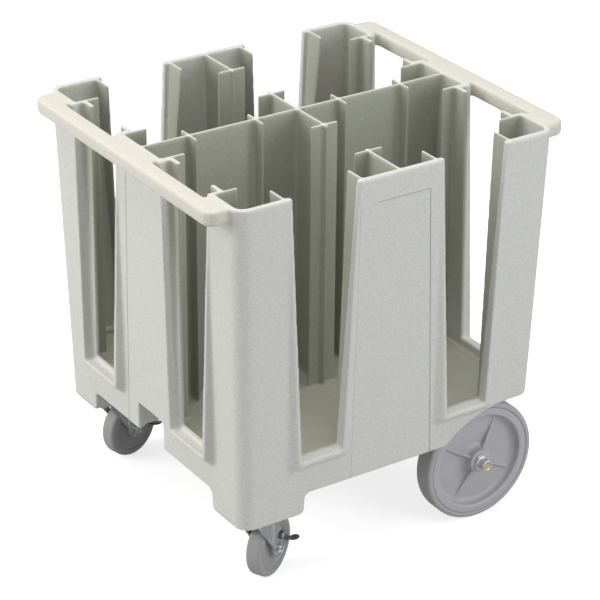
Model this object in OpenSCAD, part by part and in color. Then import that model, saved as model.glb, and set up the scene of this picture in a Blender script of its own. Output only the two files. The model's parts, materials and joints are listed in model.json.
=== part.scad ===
// Dish cart: a moulded polyethylene body with four storage wells on two large
// fixed wheels and two braked swivel casters.
// Millimetres. Origin on the floor under the middle of the body, +Z up,
// swivel casters at -X, large wheels at +X, near side at -Y.

/* [Body] */
// overall height
body_h = 813; // [800:1:830]
// half length of the body skin at its top
rim_half_x = 348; // [346:1:350]
// half width of the body skin at its top
rim_half_y = 342; // [341:1:344]
// half length of the body skin at the underside of the caster blocks
foot_half_x = 329; // [328:0.5:330]
// half width of the body skin at the underside of the caster blocks
foot_half_y = 327.5; // [327:0.5:328.5]
// thickness of the outer skin of the posts
skin_t = 12; // [11:0.5:13]
// thickness of the inner webs and fins
web_t = 5; // [4:0.5:6]
// radius of the upright outer corners
corner_r = 30; // [26:1:34]
// height of the slot sills
sill_z = 277; // [275:1:280]
// height of the top of the deck
deck_top = 266; // [264.5:0.5:268]
// thickness of the deck
deck_t = 8; // [6:0.5:8]
// height of the lower edge of the skirt
skirt_z = 199; // [190:1:205]
// height of the underside of the caster blocks
block_z = 156; // fixed by the caster height

/* [Slots] */
// half distance between the side slots at the top
side_in_top = 93.4; // [88:0.2:98]
// half distance between the side slots at the sill
side_in_sill = 120.4; // [116:0.2:124]
// outer edge of the side slots at the top
side_out_top = 233; // [228:0.5:236]
// outer edge of the side slots at the sill
side_out_sill = 209; // [206:0.5:214]
// half distance between the end slots at the top
end_in_top = 80; // [78.5:0.5:84]
// half distance between the end slots at the sill
end_in_sill = 107.5; // [105:0.5:110]
// outer edge of the end slots at the top
end_out_top = 240.5; // [238:0.5:242]
// outer edge of the end slots at the sill
end_out_sill = 220.5; // [218:0.5:224]

/* [Handles] */
// reach of the handle bars beyond the skin
grip_reach = 43; // [38:1:50]
// width of the handle bars seen from above
grip_w = 35; // [30:1:36]
// height of the handle bars
grip_h = 30; // [26:1:34]
// how far the ends of the handle bars stand in from the sides
grip_inset = 26; // [22:1:32]
// rounding of the handle edges
grip_r = 6.5; // [5:0.5:8]
// rounding of the handle ends seen from above
grip_end_r = 22; // [16:1:28]

/* [Large wheels] */
// large wheel radius
wheel_r = 125; // [122:0.5:127]
// large wheel width
wheel_w = 44; // [40:1:46]
// distance from the axle to the end of the body's foot
axle_inset = 97.6; // [93:0.2:101]
// distance of the large wheels' outer faces in from the side of the foot
wheel_inset = 19.5; // [17:0.5:21]
// axle diameter
axle_d = 14; // [12:0.5:16]

/* [Casters] */
// caster wheel radius
caster_r = 62.5; // [60:0.5:63]
// caster wheel width
caster_w = 32; // [28:1:33]
// distance from the swivel axis to the caster wheel axis
trail = 40; // [37:0.5:42]
// distance from the swivel axes to the end of the body's foot
swivel_inset_x = 68; // [65:0.5:71]
// distance from the swivel axes to the side of the body's foot
swivel_inset_y = 55.5; // [53:0.5:58]
// direction of the near caster, turned from +X
near_turn = 28; // [0:1:45]
// direction of the far caster, turned from +X
far_turn = 14; // [0:1:45]

/* [Hidden] */
$fn = 64;
eps = 0.01;
run_gap = 0.05;
face_gap = 0.3;
far_away = 2 * rim_half_x;
skirt_t = 11.5;
end_curb_t = 10.5;
side_curb_t = 22;
rim_plane_x = rim_half_x - 1.2;
rim_plane_y = rim_half_y - 1.2;
sill_half_x = foot_half_x + (rim_half_x - foot_half_x) * (sill_z - block_z) / (body_h - block_z);
sill_half_y = foot_half_y + (rim_half_y - foot_half_y) * (sill_z - block_z) / (body_h - block_z);
skirt_in_x = foot_half_x - skirt_t;
skirt_in_y = foot_half_y - skirt_t;
curb_in_x = sill_half_x - end_curb_t;
curb_in_y = sill_half_y - side_curb_t;
rim_sill_x = sill_half_x + 19;
rim_sill_y = sill_half_y + 13;
side_slope = 1.3;
end_slope = 0.22;
deck_low = deck_top - deck_t;
lip_top = 10;
lip_sill = 5;
side_flange_y = rim_half_y - 57;
side_fin_y = rim_half_y - 109;
side_stub_y = rim_half_y - 117;
side_fin_half = 31;
end_fin_x = rim_half_x - 61.5;
end_fin_y_in = end_in_top - 9;
end_fin_y_out = end_out_top + web_t - 1;
frame_t = 9.5;
frame_sill_x = sill_half_x - 1;
frame_top_x = rim_half_x - 24.5;
frame_in_sill = end_in_sill + 6.5;
frame_in_top = end_in_top + 23;
frame_out_sill = end_out_sill - 10.5;
frame_out_top = end_out_top - 27.5;
frame_low_h = 7.5;
cross_reach = end_in_sill - 5.5;
divider_fin_half = 28;
divider_fins_x = [side_in_top, side_out_top + 4];
cross_fin_half = 30;
cross_fin_y = end_in_top + 10;
swivel_x = -foot_half_x + swivel_inset_x;
swivel_y = foot_half_y - swivel_inset_y;
block_half = 68;
block_in_x = -swivel_x - block_half;
block_in_y = swivel_y - 52;
block_r = 12;
notch_half = 46;
rib_t = 6;
rib_low = skirt_z + 6;
cross_rib_low = skirt_z + 26;
grip_x = rim_half_x + grip_reach;
grip_in = grip_x - grip_w;
grip_half = rim_half_y - grip_inset;
plate_in = end_in_top - 11;
plate_out = end_out_top + 10;
split_y = foot_half_y - 37.5;
split_x = min(sill_half_x, rim_half_x) - skin_t - 2.5;
axle_x = foot_half_x - axle_inset;
arch_r = wheel_r + 83;
arch_x = axle_x + 43.6;
end_rib_x = axle_x - 51.4;
wheel_face = foot_half_y - wheel_inset;
wheel_in = wheel_face - wheel_w;
housing_out = wheel_in - 10;
housing_in = housing_out - 40;
washer_t = 2;
hub_in = housing_out + washer_t + face_gap;
hub_out = wheel_face + 2;
hub_r = 24;
bush_r = axle_d / 2 + 4;
cap_r = axle_d / 2 + 6;
cap_out = wheel_face + 24;
outer_washer = hub_out + face_gap;
cap_in = outer_washer + washer_t;
leg_in = 18;
leg_t = 4;
leg_out = leg_in + leg_t;
pin_d = 12;
bolt_d = 8;
caster_axle_d = 8;
spacer_r = 6;
plate_t = 4;
plate_low = block_z - plate_t;
crown_top = plate_low - 7;
crown_t = 5;
race_low = crown_top + face_gap;
brake_a = 10;
brake_z = 84;
brake_in = leg_out + face_gap;
brake_t = 3;

// Half sizes of the drafted outer skin at a height.
function rise(z) = (z - block_z) / (body_h - block_z);
function hx(z) = foot_half_x + (rim_half_x - foot_half_x) * rise(z);
function hy(z) = foot_half_y + (rim_half_y - foot_half_y) * rise(z);

// Plain rectangle outline, anticlockwise.
function rect(x0, x1, y0, y1) = [[x0, y0], [x1, y0], [x1, y1], [x0, y1]];

// Rectangle outline with four rounded corners.
function round_rect(a, b, r, n = 6) = [
  for (q = [0:3]) for (i = [0:n])
    let (sx = (q == 0 || q == 3) ? 1 : -1, sy = q < 2 ? 1 : -1, t = 90 * q + 90 * i / n)
      [sx * (a - r) + r * cos(t), sy * (b - r) + r * sin(t)]
];

// Outline of one quarter of the body with its rounded outer corner.
function quarter(xo, yo, r, n = 6) = concat(
  [[100, 100], [xo, 100]],
  [for (i = [0:n]) [xo - r + r * cos(90 * i / n), yo - r + r * sin(90 * i / n)]],
  [[100, yo]]
);

// Position of a slanted slot edge at a height.
function edge(sill, top, z) = sill + (top - sill) * (z - sill_z) / (body_h - sill_z);

// Solid between two outlines with the same number of points.
module loft(lo, z0, hi, z1) {
  n = len(lo);
  polyhedron(
    points = concat([for (p = lo) [p[0], p[1], z0]], [for (p = hi) [p[0], p[1], z1]]),
    faces = concat(
      [[for (i = [0:n - 1]) i]],
      [[for (i = [n - 1:-1:0]) i + n]],
      [for (i = [0:n - 1]) [i, i + n, (i + 1) % n + n, (i + 1) % n]]
    )
  );
}

module box(x0, x1, y0, y1, z0, z1) {
  translate([x0, y0, z0])
    cube([x1 - x0, y1 - y0, z1 - z0]);
}

// Cross-section of a raised slot edge: its foot in the skin and its narrow crest.
function rim_outline(h, plane, e, s, crest, slope) =
  [[h, e], [plane, e], [plane, e + s * crest], [h, e + s * (crest + slope * (plane - h))]];

function swap(p) = [for (q = p) [q[1], q[0]]];
function back(p) = [for (i = [len(p) - 1:-1:0]) p[i]];

// Raised edge beside a side slot, which dies into the skin near its top.
module side_rim(e_sill, e_top, s) {
  lo = swap(rim_outline(hy(sill_z) - 4, rim_sill_y, e_sill, s, 8, side_slope));
  hi = swap(rim_outline(rim_half_y - 4, rim_plane_y, e_top, s, 6, side_slope));
  if (s > 0)
    loft(back(lo), sill_z, back(hi), body_h);
  else
    loft(lo, sill_z, hi, body_h);
}

// Raised edge beside an end slot on the +X end.
module end_rim(e_sill, e_top, s) {
  lo = rim_outline(hx(sill_z) - 4, rim_sill_x, e_sill, s, 10, end_slope);
  hi = rim_outline(rim_half_x - 4, rim_plane_x, e_top, s, 6, end_slope);
  if (s > 0)
    loft(lo, sill_z, hi, body_h);
  else
    loft(back(lo), sill_z, back(hi), body_h);
}

// Ring of the base from the skirt edge to the sills.
module base_ring() {
  difference() {
    loft(
      round_rect(hx(skirt_z), hy(skirt_z), corner_r), skirt_z,
      round_rect(hx(sill_z), hy(sill_z), corner_r), sill_z
    );
    box(-skirt_in_x, skirt_in_x, -skirt_in_y, skirt_in_y, skirt_z - 1, deck_low);
    box(-curb_in_x, curb_in_x, -curb_in_y, curb_in_y, deck_low - 1, sill_z + 1);
  }
}

// Lower half of a raised slot edge: wide and cut at the corners, c is the cut.
function lip_outline(half, low, c) = [
  [-half, sill_z], [-half, low + c], [-half + c, low],
  [half - c, low], [half, low + c], [half, sill_z]
];

module sill_lip(h, plane, half, crest, slope, low) {
  foot = crest + slope * (plane - h + 4);
  rotate([90, 0, 90])
    loft(lip_outline(half + foot, low, 12), h - 4, lip_outline(half + crest, sill_z - 8, 5), plane);
}

module skirt_side() {
  difference() {
    union() {
      intersection() {
        base_ring();
        box(-far_away, far_away, split_y, far_away, 0, body_h);
      }
      for (s = [-1, 1])
        translate([s * (side_in_sill + side_out_sill) / 2, 0, 0])
          rotate([0, 0, 90])
            sill_lip(hy(sill_z), rim_sill_y, (side_out_sill - side_in_sill) / 2, 8, side_slope,
              sill_z - 26);
    }
    translate([arch_x, split_y - 1, deck_low - arch_r])
      rotate([-90, 0, 0])
        cylinder(r = arch_r, h = far_away, $fn = 128);
    box(arch_x, far_away, split_y - 1, far_away, 0, deck_low);
  }
}

module skirt_near() {
  color("#c0c1be")
    mirror([0, 1, 0])
      skirt_side();
}

module skirt_far() {
  color("#c0c1be")
    skirt_side();
}

module skirt_end(low) {
  slot_mid = (end_in_sill + end_out_sill) / 2;
  slot_half = (end_out_sill - end_in_sill) / 2;
  union() {
    intersection() {
      base_ring();
      box(0, far_away, -split_y, split_y, low, body_h);
    }
    for (s = [0, 1])
      mirror([0, s, 0]) {
        translate([0, slot_mid, 0])
          sill_lip(hx(sill_z), rim_sill_x, slot_half, 10, end_slope, max(sill_z - 26, low));
        frame_bar(frame_in_sill, frame_in_top, frame_out_sill, frame_out_top, sill_z + frame_low_h);
      }
  }
}

module skirt_wheel_end() {
  color("#c0c1be")
    skirt_end(deck_low);
}

module skirt_caster_end() {
  color("#c0c1be")
    difference() {
      mirror([1, 0, 0])
        skirt_end(skirt_z);
      box(-far_away, -skirt_in_x + 1, -notch_half, notch_half, skirt_z - 1, deck_low);
    }
}

module deck() {
  color("#b4b8b0")
    box(-curb_in_x, curb_in_x, -curb_in_y, curb_in_y, deck_low, deck_top);
}

// Channel walls and cross ribs under the deck.
module keel_ribs() {
  side = skirt_in_y - 60;
  color("#aeb2aa") {
    for (s = [0, 1])
      mirror([0, s, 0]) {
        box(-skirt_in_x, end_rib_x, notch_half, notch_half + rib_t, rib_low, deck_low);
        for (x = [-skirt_in_x * 0.38, skirt_in_x * 0.1])
          box(x - rib_t / 2, x + rib_t / 2, notch_half + rib_t, skirt_in_y, cross_rib_low, deck_low);
      }
    box(end_rib_x, end_rib_x + rib_t, -side, side, rib_low, deck_low);
  }
}

// Block in a -X corner that carries a caster.
module caster_block() {
  color("#c0c1be")
    difference() {
      union() {
        intersection() {
          loft(
            round_rect(hx(block_z), hy(block_z), corner_r), block_z,
            round_rect(hx(skirt_z), hy(skirt_z), corner_r), skirt_z
          );
          union() {
            box(-far_away, -block_in_x - block_r, block_in_y + block_r, far_away, block_z, skirt_z);
            box(-far_away, -block_in_x, block_in_y + block_r, far_away, block_z + block_r, skirt_z);
            box(-far_away, -block_in_x - block_r, block_in_y, far_away, block_z + block_r, skirt_z);
            translate([-block_in_x - block_r, block_in_y + block_r, block_z + block_r])
              rotate([-90, 0, 0])
                cylinder(r = block_r, h = 150);
            translate([-block_in_x - block_r, block_in_y + block_r, block_z + block_r])
              rotate([0, -90, 0])
                cylinder(r = block_r, h = 150);
            translate([-block_in_x - block_r, block_in_y + block_r, block_z + block_r])
              sphere(r = block_r);
            translate([-block_in_x - block_r, block_in_y + block_r, block_z + block_r])
              cylinder(r = block_r, h = skirt_z - block_z - block_r);
            difference() {
              box(-block_in_x - 1, -block_in_x + block_r, skirt_in_y, far_away, skirt_z - block_r, skirt_z);
              translate([-block_in_x + block_r, skirt_in_y - 1, skirt_z - block_r])
                rotate([-90, 0, 0])
                  cylinder(r = block_r, h = far_away);
            }
            difference() {
              box(-far_away, -skirt_in_x, block_in_y - block_r, block_in_y + 1, skirt_z - block_r, skirt_z);
              translate([-far_away, block_in_y - block_r, skirt_z - block_r])
                rotate([0, 90, 0])
                  cylinder(r = block_r, h = 2 * far_away);
            }
          }
        }
        box(-skirt_in_x, -block_in_x, block_in_y, skirt_in_y, skirt_z, deck_low);
      }
      for (a = [-1, 1])
        for (b = [-1, 1])
          translate([swivel_x + a * 40, swivel_y + b * 32, block_z - 1])
            cylinder(d = bolt_d, h = 27);
    }
}

module caster_block_near() {
  mirror([0, 1, 0])
    caster_block();
}

module caster_block_far() {
  caster_block();
}

// Leg moulded under the deck that holds the axle.
module axle_housing() {
  color("#aeb2aa")
    difference() {
      union() {
        loft(
          rect(axle_x - 24, axle_x + 24, housing_in, housing_out), wheel_r,
          rect(axle_x - 40, axle_x + 60, housing_in, housing_out), deck_low
        );
        translate([axle_x, housing_in, wheel_r])
          rotate([-90, 0, 0])
            cylinder(r = 24, h = housing_out - housing_in);
      }
      translate([axle_x, housing_in - 1, wheel_r])
        rotate([-90, 0, 0])
          cylinder(d = axle_d, h = housing_out - housing_in + 2);
    }
}

module axle_housing_near() {
  mirror([0, 1, 0])
    axle_housing();
}

module axle_housing_far() {
  axle_housing();
}

// Bar of the frame inside an end slot, drafted with the skin, up to a height.
// Its two edges lean from one distance at the sill to another at the top.
module frame_bar(a_sill, a_top, b_sill, b_top, high) {
  x = edge(frame_sill_x, frame_top_x, high);
  loft(
    rect(frame_sill_x - frame_t, frame_sill_x, a_sill, b_sill), sill_z,
    rect(x - frame_t, x, edge(a_sill, a_top, high), edge(b_sill, b_top, high)), high
  );
}

// Wall of an end slot from the skin in to its frame.
module jamb_wall(e_sill, e_top, s) {
  loft(
    rect(frame_sill_x - frame_t, frame_sill_x, min(e_sill, e_sill + s * web_t),
      max(e_sill, e_sill + s * web_t)), sill_z,
    rect(frame_top_x - frame_t, rim_half_x - skin_t + 1, min(e_top, e_top + s * web_t),
      max(e_top, e_top + s * web_t)), body_h
  );
}

module corner_post() {
  low = sill_z - 10;
  high = body_h + 10;
  color("#c6c7c2")
    union() {
      difference() {
        intersection() {
          loft(
            quarter(hx(sill_z), hy(sill_z), corner_r), sill_z,
            quarter(rim_half_x, rim_half_y, corner_r), body_h
          );
          loft(
            rect(side_out_sill, far_away, end_out_sill, far_away), sill_z,
            rect(side_out_top, far_away, end_out_top, far_away), body_h
          );
        }
        loft(
          quarter(hx(low) - skin_t, hy(low) - skin_t, corner_r - skin_t), low,
          quarter(hx(high) - skin_t, hy(high) - skin_t, corner_r - skin_t), high
        );
      }
      side_rim(side_out_sill, side_out_top, 1);
      end_rim(end_out_sill, end_out_top, 1);
      loft(
        rect(side_out_sill + lip_sill, side_out_sill + lip_sill + web_t, curb_in_y,
          hy(sill_z) - skin_t + 1), sill_z,
        rect(side_out_top + lip_top, side_out_top + lip_top + web_t, side_flange_y,
          rim_half_y - skin_t + 1), body_h
      );
      loft(
        rect(end_fin_x, hx(sill_z) - skin_t + 1, end_fin_y_out, end_fin_y_out + web_t), sill_z,
        rect(end_fin_x, rim_half_x - skin_t + 1, end_fin_y_out, end_fin_y_out + web_t), body_h
      );
      box(end_fin_x, curb_in_x, end_fin_y_out, end_fin_y_out + web_t, deck_top, sill_z + eps);
      frame_bar(frame_out_sill, frame_out_top, end_fin_y_out + 1, end_fin_y_out + 1, body_h);
      jamb_wall(end_out_sill, end_out_top, 1);
    }
}

module post_near_caster() {
  mirror([0, 1, 0])
    mirror([1, 0, 0])
      corner_post();
}

module post_near_wheel() {
  mirror([0, 1, 0])
    corner_post();
}

module post_far_caster() {
  mirror([1, 0, 0])
    corner_post();
}

module post_far_wheel() {
  corner_post();
}

module side_post() {
  color("#c6c7c2")
    union() {
      loft(
        rect(-side_in_sill, side_in_sill, hy(sill_z) - skin_t, hy(sill_z)), sill_z,
        rect(-side_in_top, side_in_top, rim_half_y - skin_t, rim_half_y), body_h
      );
      side_rim(side_in_sill, side_in_top, -1);
      mirror([1, 0, 0])
        side_rim(side_in_sill, side_in_top, -1);
      for (s = [0, 1])
        mirror([s, 0, 0])
          loft(
            rect(side_in_sill - lip_sill - web_t, side_in_sill - lip_sill, curb_in_y,
              hy(sill_z) - skin_t + 1), sill_z,
            rect(side_in_top - lip_top - web_t, side_in_top - lip_top, side_flange_y,
              rim_half_y - skin_t + 1), body_h
          );
      loft(
        rect(-web_t / 2, web_t / 2, side_stub_y, hy(sill_z) - skin_t + 1), sill_z,
        rect(-web_t / 2, web_t / 2, side_stub_y, rim_half_y - skin_t + 1), body_h
      );
      box(-web_t / 2, web_t / 2, side_stub_y, curb_in_y, deck_top, sill_z + eps);
      box(-side_fin_half, side_fin_half, side_fin_y - web_t / 2, side_fin_y + web_t / 2,
        deck_top, body_h);
    }
}

module post_near_side() {
  mirror([0, 1, 0])
    side_post();
}

module post_far_side() {
  side_post();
}

module end_post() {
  color("#c6c7c2")
    union() {
      loft(
        rect(hx(sill_z) - skin_t, hx(sill_z), -end_in_sill, end_in_sill), sill_z,
        rect(rim_half_x - skin_t, rim_half_x, -end_in_top, end_in_top), body_h
      );
      for (s = [0, 1])
        mirror([0, s, 0]) {
          end_rim(end_in_sill, end_in_top, -1);
          loft(
            rect(end_fin_x, hx(sill_z) - skin_t + 1, end_fin_y_in - web_t, end_fin_y_in), sill_z,
            rect(end_fin_x, rim_half_x - skin_t + 1, end_fin_y_in - web_t, end_fin_y_in), body_h
          );
          box(end_fin_x, curb_in_x, end_fin_y_in - web_t, end_fin_y_in, deck_top, sill_z + eps);
          frame_bar(end_fin_y_in - 1, end_fin_y_in - 1, frame_in_sill, frame_in_top, body_h);
          jamb_wall(end_in_sill, end_in_top, -1);
        }
      loft(
        rect(split_x, hx(sill_z) - skin_t + 1, -web_t / 2, web_t / 2), sill_z,
        rect(split_x, rim_half_x - skin_t + 1, -web_t / 2, web_t / 2), body_h
      );
      box(split_x, curb_in_x, -web_t / 2, web_t / 2, deck_top, sill_z + eps);
    }
}

module post_wheel_end() {
  end_post();
}

module post_caster_end() {
  mirror([1, 0, 0])
    end_post();
}

module divider_long() {
  color("#b4b8b0")
    box(-split_x, split_x, -web_t / 2, web_t / 2, deck_top, body_h);
}

module divider_fins() {
  color("#b4b8b0")
    for (a = [0, 1])
      for (b = [0, 1])
        mirror([a, 0, 0])
          mirror([0, b, 0])
            for (x = divider_fins_x)
              box(x - web_t / 2, x + web_t / 2, web_t / 2, divider_fin_half, deck_top, body_h);
}

module divider_cross() {
  color("#b4b8b0") {
    box(-web_t / 2, web_t / 2, web_t / 2, cross_reach, deck_top, body_h);
    box(-cross_fin_half, cross_fin_half, cross_fin_y - web_t / 2, cross_fin_y + web_t / 2,
      deck_top, body_h);
  }
}

module divider_near() {
  mirror([0, 1, 0])
    divider_cross();
}

module divider_far() {
  divider_cross();
}

// Rounded profile of a handle bar, four edges softened.
function bar_profile(w, h, r, n = 5) = [
  for (q = [0:3]) for (i = [0:n])
    let (sx = (q == 0 || q == 3) ? 1 : 0, sy = q < 2 ? 1 : 0, t = 90 * q + 90 * i / n)
      [(sx > 0 ? w - r : r) + r * cos(t), (sy > 0 ? h - r : r) + r * sin(t)]
];

// Profile softened on the far edges only, flat where it starts.
function edge_profile(w, h, r, n = 5) = concat(
  [[0, 0]],
  [for (i = [0:n]) [w - r + r * cos(-90 + 90 * i / n), r + r * sin(-90 + 90 * i / n)]],
  [for (i = [0:n]) [w - r + r * cos(90 * i / n), h - r + r * sin(90 * i / n)]],
  [[0, h]]
);

module handle() {
  z0 = body_h - grip_h;
  color("#d8d3c8")
    difference() {
      union() {
        translate([grip_in, grip_half - grip_end_r, z0])
          rotate([90, 0, 0])
            linear_extrude(height = 2 * (grip_half - grip_end_r))
              polygon(bar_profile(grip_w, grip_h, grip_r));
        for (s = [0, 1])
          mirror([0, s, 0]) {
            translate([grip_x - grip_end_r, grip_half - grip_end_r, z0])
              rotate_extrude(angle = 90)
                polygon(edge_profile(grip_end_r, grip_h, grip_r));
            translate([rim_half_x - 4, grip_half - grip_end_r, z0])
              rotate([90, 0, 90])
                linear_extrude(height = grip_x - grip_end_r - rim_half_x + 4)
                  polygon(edge_profile(grip_end_r, grip_h, grip_r));
            box(rim_half_x - 4, grip_x - grip_end_r, plate_out, grip_half - grip_end_r, z0, body_h);
            box(grip_x - grip_end_r - 1, grip_x - grip_r, plate_out + 8, grip_half - grip_end_r, z0, body_h);
          }
        box(rim_half_x - 4, grip_in + grip_r + 1, -plate_in, plate_in, z0, body_h);
      }
      loft(
        rect(0, hx(z0 - 20), -far_away, far_away), z0 - 20,
        rect(0, hx(body_h + 20), -far_away, far_away), body_h + 20
      );
    }
}

module handle_wheel_end() {
  handle();
}

module handle_caster_end() {
  mirror([1, 0, 0])
    handle();
}

module axle() {
  color("#b9a05a")
    translate([axle_x, -cap_out + 1, wheel_r])
      rotate([-90, 0, 0])
        cylinder(d = axle_d, h = 2 * cap_out - 2);
}

// Turns an upright profile about the axle line and sets it at a distance.
module on_axle() {
  translate([axle_x, 0, wheel_r])
    rotate([-90, 0, 0])
      children();
}

module ring(r0, r1, a, b) {
  translate([0, 0, a])
    difference() {
      cylinder(r = r1, h = b - a);
      translate([0, 0, -1])
        cylinder(r = r0, h = b - a + 2);
    }
}

module big_tyre() {
  color("#a2a2a4")
    on_axle()
      rotate_extrude($fn = 96)
        polygon([[wheel_r - 12, wheel_in + 1], [wheel_r - 7, wheel_in], [wheel_r - 2.5, wheel_in + 1.5],
          [wheel_r, wheel_in + 5], [wheel_r, wheel_face - 5], [wheel_r - 2.5, wheel_face - 1.5],
          [wheel_r - 7, wheel_face], [wheel_r - 12, wheel_face - 1]]);
}

module big_core() {
  mid = (wheel_in + wheel_face) / 2;
  color("#96969b")
    on_axle()
      union() {
        rotate_extrude($fn = 96)
          polygon([[bush_r, hub_in], [hub_r, hub_in], [hub_r, mid - 12], [hub_r + 2.5, mid - 6.5],
            [hub_r + 9, mid - 3], [wheel_r - 36, mid - 3], [wheel_r - 30, mid - 5.5],
            [wheel_r - 28, mid - 11], [wheel_r - 28, wheel_in + 3.5], [wheel_r - 25.5, wheel_in + 1],
            [wheel_r - 12, wheel_in + 1], [wheel_r - 12, wheel_face - 1],
            [wheel_r - 25.5, wheel_face - 1], [wheel_r - 28, wheel_face - 3.5],
            [wheel_r - 28, mid + 11], [wheel_r - 30, mid + 5.5], [wheel_r - 36, mid + 3],
            [hub_r + 9, mid + 3], [hub_r + 2.5, mid + 6.5], [hub_r, mid + 12], [hub_r, hub_out],
            [bush_r, hub_out]]);
        for (a = [-60, -150, -240, -330])
          rotate([0, 0, a])
            translate([0, 2.75, 0])
              rotate([90, 0, 0])
                linear_extrude(height = 5.5)
                  polygon([[hub_r - 1, wheel_in + 6], [wheel_r - 27, mid - 4],
                    [wheel_r - 27, mid + 4], [hub_r - 1, wheel_face - 6]]);
      }
}

module big_bush() {
  color("#3a3a3c")
    on_axle()
      ring(axle_d / 2 + run_gap, bush_r, hub_in, hub_out);
}

module tyre_far() {
  big_tyre();
}

module tyre_near() {
  mirror([0, 1, 0])
    big_tyre();
}

module wheel_core_far() {
  big_core();
}

module wheel_core_near() {
  mirror([0, 1, 0])
    big_core();
}

module wheel_bush_far() {
  big_bush();
}

module wheel_bush_near() {
  mirror([0, 1, 0])
    big_bush();
}

module washers_far() {
  color("#b4b6b8")
    on_axle() {
      ring(axle_d / 2, 17, housing_out, housing_out + washer_t);
      ring(axle_d / 2, 17, outer_washer, cap_in);
    }
}

module washers_near() {
  mirror([0, 1, 0])
    washers_far();
}

module axle_cap_far() {
  color("#c4c6c8")
    on_axle()
      ring(axle_d / 2, cap_r, cap_in, cap_out);
}

module axle_cap_near() {
  mirror([0, 1, 0])
    axle_cap_far();
}

// Places a caster piece drawn with its swivel axis upright at the origin.
module near_caster(turn = 0) {
  translate([swivel_x, -swivel_y, 0])
    rotate([0, 0, turn])
      children();
}

module far_caster(turn = 0) {
  translate([swivel_x, swivel_y, 0])
    rotate([0, 0, turn])
      children();
}

module top_plate() {
  color("#9fa1a3")
    difference() {
      box(-52, 52, -44, 44, plate_low, block_z);
      for (a = [-1, 1])
        for (b = [-1, 1])
          translate([a * 40, b * 32, plate_low - 1])
            cylinder(d = bolt_d, h = plate_t + 2);
      translate([0, 0, plate_low - 1])
        cylinder(d = pin_d, h = plate_t + 2);
    }
}

module plate_bolts() {
  color("#8d8f92")
    for (a = [-1, 1])
      for (b = [-1, 1])
        translate([a * 40, b * 32, 0]) {
          translate([0, 0, plate_low - 5])
            cylinder(d = 14, h = 5, $fn = 6);
          translate([0, 0, plate_low - 1])
            cylinder(d = bolt_d, h = 28);
        }
}

module swivel_race() {
  color("#8b8d90")
    ring(pin_d / 2, 29, race_low, plate_low);
}

module kingpin() {
  color("#9c9ea0")
    union() {
      translate([0, 0, crown_top - crown_t - face_gap - 4])
        cylinder(d = 24, h = 4);
      translate([0, 0, crown_top - crown_t - face_gap - 1])
        cylinder(d = pin_d, h = block_z - crown_top + crown_t + face_gap + 1);
    }
}

module fork_leg() {
  rotate([90, 0, 0])
    union() {
      linear_extrude(height = leg_t)
        polygon([[-27, crown_top], [-30, crown_top - 8], [trail - 18.5, caster_r + 6],
          [trail - 18.5, caster_r], [trail + 18.5, caster_r], [trail + 16, caster_r + 22],
          [trail + 8, caster_r + 46], [30, crown_top - 6], [26, crown_top]]);
      translate([trail, caster_r, 0])
        cylinder(r = 18.5, h = leg_t);
    }
}

// Rolled edges of a leg: the upright bead and the rim round its foot.
module leg_edges() {
  box(trail - 21, trail - 17.5, leg_out - 1, leg_out + 4, caster_r - 4, crown_top - 22);
  translate([trail, leg_out - 1, caster_r])
    rotate([-90, 0, 0])
      difference() {
        ring(16, 18.5, 0, 5);
        box(-30, 30, -30, 6, -1, 7);
      }
}

module fork() {
  color("#a8aaac")
    difference() {
      union() {
        intersection() {
          translate([0, 0, crown_top - crown_t])
            cylinder(r = 31, h = crown_t);
          box(-40, 40, -leg_out, leg_out, 100, 200);
        }
        box(0, 26, -leg_out, leg_out, crown_top - crown_t, crown_top);
        translate([0, -leg_in, 0])
          fork_leg();
        translate([0, leg_out, 0])
          fork_leg();
        leg_edges();
        mirror([0, 1, 0])
          leg_edges();
      }
      translate([0, 0, crown_top - 20])
        cylinder(d = pin_d + 2 * run_gap, h = 40);
      translate([trail, -40, caster_r])
        rotate([-90, 0, 0])
          cylinder(d = caster_axle_d, h = 80);
      translate([trail + brake_a, -40, brake_z])
        rotate([-90, 0, 0])
          cylinder(d = 6, h = 30);
    }
}

module caster_axle() {
  color("#c2c4c6")
    translate([trail, 0, caster_r])
      rotate([90, 0, 0])
        union() {
          translate([0, 0, -leg_out - 5])
            cylinder(d = 13, h = 5, $fn = 6);
          translate([0, 0, -leg_out - 1])
            cylinder(d = caster_axle_d, h = 2 * leg_out + 9);
          translate([0, 0, leg_out])
            cylinder(d = 13, h = 6, $fn = 6);
        }
}

module caster_spacer() {
  color("#77797c")
    translate([trail, 0, caster_r])
      rotate([90, 0, 0])
        ring(caster_axle_d / 2, spacer_r, -leg_in, leg_in);
}

module caster_core() {
  half = caster_w / 2;
  color("#6e6e72")
    translate([trail, 0, caster_r])
      rotate([90, 0, 0])
        rotate_extrude($fn = 72)
          polygon([[spacer_r + run_gap, -leg_in + face_gap], [14, -leg_in + face_gap],
            [16, -half + 5], [40, -half + 5], [43, -half + 1], [48, -half + 1],
            [48, half - 1], [43, half - 1], [40, half - 5], [16, half - 5],
            [14, leg_in - face_gap], [spacer_r + run_gap, leg_in - face_gap]]);
}

module caster_tyre() {
  half = caster_w / 2;
  color("#8a8a8a")
    translate([trail, 0, caster_r])
      rotate([90, 0, 0])
        rotate_extrude($fn = 72)
          polygon([[48, -half + 1], [52, -half], [caster_r - 6, -half], [caster_r - 1.8, -half + 2],
            [caster_r, -half + 6], [caster_r, half - 6], [caster_r - 1.8, half - 2],
            [caster_r - 6, half], [52, half], [48, half - 1]]);
}

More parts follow.
